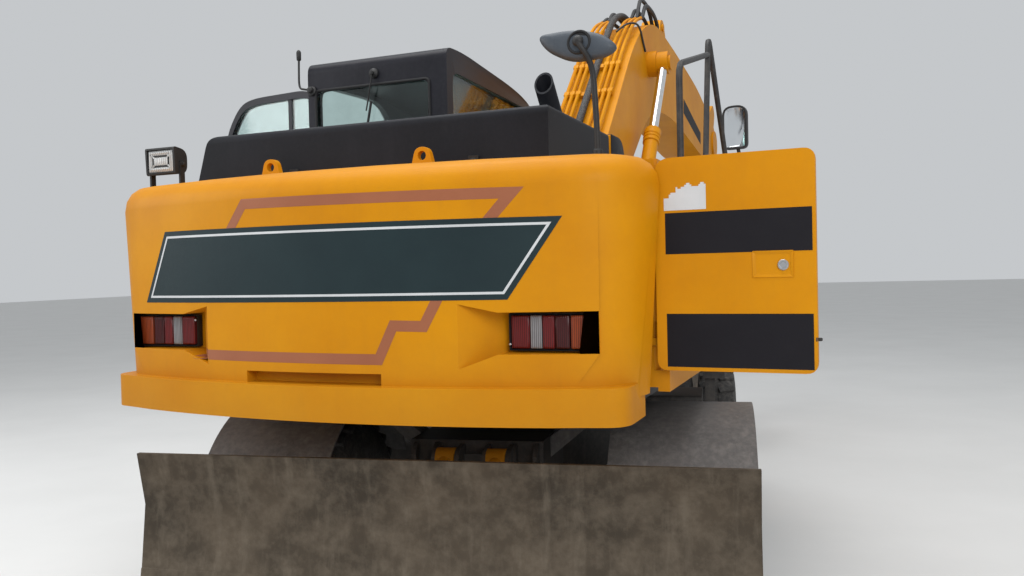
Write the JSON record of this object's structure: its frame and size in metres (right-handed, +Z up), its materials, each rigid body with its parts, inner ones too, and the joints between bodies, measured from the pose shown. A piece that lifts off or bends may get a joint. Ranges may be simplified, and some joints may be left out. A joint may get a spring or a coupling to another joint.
{
  "type": "wheeled excavator",
  "caption": "Wheeled excavator with rear dozer blade, offset cab, bent boom, dipper and bucket, side service doors open to view and twin tyres on each axle end",
  "frame": {"origin": "on the ground under the slewing axis, midway between the left and right wheels", "axes": "+X to the right of the undercarriage, +Y forward and away from the dozer blade, +Z up; the upper structure is turned 9 degrees clockwise on it"},
  "size_m": [3.633, 8.3783, 4.137],
  "materials": {
    "black_paint": "satin, dusty",
    "cab_plastic": "grained",
    "cast_weight": "painted yellow",
    "chrome_rod": "polished",
    "frame_grey": "satin, dusty",
    "grey_paint": "satin",
    "lamp_lens": "ribbed lens",
    "rubber_hose": "matte",
    "seat_cloth": "woven",
    "tyre_rubber": "matte",
    "window_glass": "tinted clear",
    "worn_steel": "bare, worn",
    "yellow_paint": "gloss, weathered"
  },
  "bodies": {
    "undercarriage": {"chassis": "black_paint", "transmission": "frame_grey", "rear_axle": "frame_grey", "front_axle": "frame_grey", "rear_mudguards": "black_paint", "side_boxes": "black_paint"},
    "left_knuckle": {"knuckle_left": "frame_grey"},
    "right_knuckle": {"knuckle_right": "frame_grey"},
    "steering_rod": {"steering_rod": "chrome_rod"},
    "front_left_wheels": {"tyres_front_left": "tyre_rubber", "rims_front_left": "yellow_paint"},
    "front_right_wheels": {"tyres_front_right": "tyre_rubber", "rims_front_right": "yellow_paint"},
    "rear_left_wheels": {"tyres_rear_left": "tyre_rubber", "rims_rear_left": "yellow_paint"},
    "rear_right_wheels": {"tyres_rear_right": "tyre_rubber", "rims_rear_right": "yellow_paint"},
    "blade_arms": {"blade_lower_arms": "black_paint"},
    "blade_links": {"blade_upper_links": "black_paint"},
    "blade": {"blade": "worn_steel"},
    "blade_ram_barrels": {"blade_barrels": "yellow_paint"},
    "blade_ram_rods": {"blade_rods": "chrome_rod"},
    "upper_structure": {"upper_frame": "black_paint", "counterweight": "cast_weight", "lifting_lugs": "yellow_paint", "tail_lamps": "lamp_lens", "engine_block": "frame_grey", "side_bodywork": "yellow_paint", "exhaust": "black_paint", "rear_mirror": "cab_plastic", "handrails": "black_paint", "front_mirror": "cab_plastic", "work_lamp": "black_paint", "cab_shell": "grey_paint", "cab_windows": "window_glass", "seat": "seat_cloth", "cab_controls": "cab_plastic"},
    "hood": {"hood": "black_paint"},
    "right_service_door": {"service_door_right": "yellow_paint"},
    "left_service_door": {"service_door_left": "yellow_paint"},
    "cab_door": {"cab_door": "grey_paint", "cab_door_window": "window_glass"},
    "boom": {"boom": "yellow_paint", "boom_pipes": "yellow_paint", "boom_hoses": "rubber_hose"},
    "lift_ram_barrels": {"lift_barrels": "yellow_paint"},
    "lift_ram_rods": {"lift_rods": "chrome_rod"},
    "dipper": {"dipper": "yellow_paint"},
    "dipper_ram_barrel": {"dipper_barrel": "yellow_paint"},
    "dipper_ram_rod": {"dipper_rod": "chrome_rod"},
    "bucket": {"bucket": "worn_steel"},
    "bucket_lever": {"bucket_lever": "yellow_paint"},
    "bucket_link": {"bucket_link": "yellow_paint"},
    "bucket_ram_barrel": {"bucket_barrel": "yellow_paint"},
    "bucket_ram_rod": {"bucket_rod": "chrome_rod"}
  },
  "joints": [
    {"name": "slew", "type": "hinge", "parent": "undercarriage", "child": "upper_structure", "pos_m": [0, 0, 1.15], "axis": [0, 0, 1], "continuous": true},
    {"name": "steering", "type": "hinge", "parent": "undercarriage", "child": "left_knuckle", "pos_m": [-0.56, 1.4, 0.525], "axis": [0, 0, 1], "range_deg": [-30, 30]},
    {"name": "steering_right", "type": "hinge", "parent": "undercarriage", "child": "right_knuckle", "pos_m": [0.56, 1.4, 0.525], "axis": [0, 0, 1], "range_deg": [-31, 31]},
    {"name": "steering_rod_slide", "type": "slide", "parent": "undercarriage", "child": "steering_rod", "axis": [1, 0, 0], "range_m": [-0.1241, 0.1241]},
    {"name": "front_left_wheel", "type": "hinge", "parent": "left_knuckle", "child": "front_left_wheels", "pos_m": [-0.7, 1.4, 0.525], "axis": [1, 0, 0], "continuous": true},
    {"name": "front_right_wheel", "type": "hinge", "parent": "right_knuckle", "child": "front_right_wheels", "pos_m": [0.7, 1.4, 0.525], "axis": [1, 0, 0], "continuous": true},
    {"name": "rear_left_wheel", "type": "hinge", "parent": "undercarriage", "child": "rear_left_wheels", "pos_m": [-0.7, -1.2, 0.525], "axis": [1, 0, 0], "continuous": true},
    {"name": "rear_right_wheel", "type": "hinge", "parent": "undercarriage", "child": "rear_right_wheels", "pos_m": [0.7, -1.2, 0.525], "axis": [1, 0, 0], "continuous": true},
    {"name": "blade_lift", "type": "hinge", "parent": "undercarriage", "child": "blade_arms", "pos_m": [0, -1.48, 0.56], "axis": [-1, 0, 0], "range_deg": [-37, 0]},
    {"name": "blade_link_swing", "type": "hinge", "parent": "undercarriage", "child": "blade_links", "pos_m": [0, -1.48, 0.76], "axis": [-1, 0, 0], "range_deg": [-38, 1]},
    {"name": "blade_level", "type": "hinge", "parent": "blade_arms", "child": "blade", "pos_m": [0, -2.09819, 0.76086], "axis": [-1, 0, 0], "range_deg": [-1, 38]},
    {"name": "blade_ram_swing", "type": "hinge", "parent": "undercarriage", "child": "blade_ram_barrels", "pos_m": [0, -1.52, 0.93], "axis": [-1, 0, 0], "range_deg": [-26.86, 1]},
    {"name": "blade_ram_slide", "type": "slide", "parent": "blade_ram_barrels", "child": "blade_ram_rods", "axis": [0, -0.9083, -0.4183], "range_m": [-0.002, 0.2117]},
    {"name": "boom_lift", "type": "hinge", "parent": "upper_structure", "child": "boom", "pos_m": [0.1019, 0.00411, 1.8], "axis": [0.9877, -0.1564, 0], "range_deg": [-54, 3]},
    {"name": "lift_ram_swing", "type": "hinge", "parent": "upper_structure", "child": "lift_ram_barrels", "pos_m": [0.19263, 0.57697, 1.5], "axis": [0.9877, -0.1564, 0], "range_deg": [-63.21, 4.46]},
    {"name": "lift_ram_slide", "type": "slide", "parent": "lift_ram_barrels", "child": "lift_ram_rods", "axis": [0.0927, 0.5855, 0.8054], "range_m": [-0.5062, 0.03]},
    {"name": "dipper_swing", "type": "hinge", "parent": "boom", "child": "dipper", "pos_m": [0.94351, 5.31787, 3.23], "axis": [0.9877, -0.1564, 0], "range_deg": [-15, 95]},
    {"name": "dipper_ram_swing", "type": "hinge", "parent": "boom", "child": "dipper_ram_barrel", "pos_m": [0.59154, 3.09558, 4.06], "axis": [0.9877, -0.1564, 0], "range_deg": [-1.5, 4.16]},
    {"name": "dipper_ram_slide", "type": "slide", "parent": "dipper_ram_barrel", "child": "dipper_ram_rod", "axis": [0.155, 0.9786, -0.1353], "range_m": [-1.0561, 0.1684]},
    {"name": "bucket_curl", "type": "hinge", "parent": "dipper", "child": "bucket", "pos_m": [0.78485, 4.31608, 1.05486], "axis": [0.9877, -0.1564, 0], "range_deg": [-35, 120]},
    {"name": "bucket_lever_swing", "type": "hinge", "parent": "dipper", "child": "bucket_lever", "pos_m": [0.81677, 4.51764, 1.44518], "axis": [0.9877, -0.1564, 0], "range_deg": [-24.64, 82.04]},
    {"name": "bucket_link_swing", "type": "hinge", "parent": "bucket", "child": "bucket_link", "pos_m": [0.78975, 4.34707, 0.69623], "axis": [0.9877, -0.1564, 0], "range_deg": [-113.15, 33.71]},
    {"name": "bucket_ram_swing", "type": "hinge", "parent": "dipper", "child": "bucket_ram_barrel", "pos_m": [0.97142, 5.49408, 2.59512], "axis": [0.9877, -0.1564, 0], "range_deg": [-2.39, 5.77]},
    {"name": "bucket_ram_slide", "type": "slide", "parent": "bucket_ram_barrel", "child": "bucket_ram_rod", "axis": [-0.0685, -0.4325, -0.8991], "range_m": [-0.654, 0.1922]},
    {"name": "hood_lift", "type": "hinge", "parent": "upper_structure", "child": "hood", "pos_m": [-0.10043, -0.6341, 2.455], "axis": [-0.9877, 0.1564, 0], "range_deg": [0, 45]},
    {"name": "right_service_door", "type": "hinge", "parent": "upper_structure", "child": "right_service_door", "pos_m": [0.89512, -2.07052, 1.8], "axis": [0, 0, 1], "range_deg": [-5, 93]},
    {"name": "left_service_door", "type": "hinge", "parent": "upper_structure", "child": "left_service_door", "pos_m": [-1.49114, -1.69257, 1.8], "axis": [0, 0, 1], "range_deg": [0, 93]},
    {"name": "cab_door_swing", "type": "hinge", "parent": "upper_structure", "child": "cab_door", "pos_m": [-1.32259, -0.27043, 2.2], "axis": [0, 0, 1], "range_deg": [-75, 20]}
  ],
  "couplings": [
    {"joint": "steering_right", "follows": "steering", "ratio": 1},
    {"joint": "steering_rod_slide", "follows": "steering", "m_per_rad": 0.23327},
    {"joint": "blade_link_swing", "follows": "blade_lift", "ratio": 1},
    {"joint": "blade_level", "follows": "blade_lift", "ratio": -1},
    {"joint": "blade_ram_swing", "follows": "blade_lift", "ratio": 0.69898},
    {"joint": "blade_ram_slide", "follows": "blade_lift", "m_per_rad": -0.32479},
    {"joint": "lift_ram_swing", "follows": "boom_lift", "ratio": 1.152},
    {"joint": "lift_ram_slide", "follows": "boom_lift", "m_per_rad": 0.53499},
    {"joint": "dipper_ram_swing", "follows": "dipper_swing", "ratio": 0.033255},
    {"joint": "dipper_ram_slide", "follows": "dipper_swing", "m_per_rad": -0.63574},
    {"joint": "bucket_lever_swing", "follows": "bucket_curl", "ratio": 0.67537},
    {"joint": "bucket_link_swing", "follows": "bucket_curl", "ratio": -0.93457},
    {"joint": "bucket_ram_swing", "follows": "bucket_curl", "ratio": 0.03978},
    {"joint": "bucket_ram_slide", "follows": "bucket_curl", "m_per_rad": -0.31132}
  ]
}
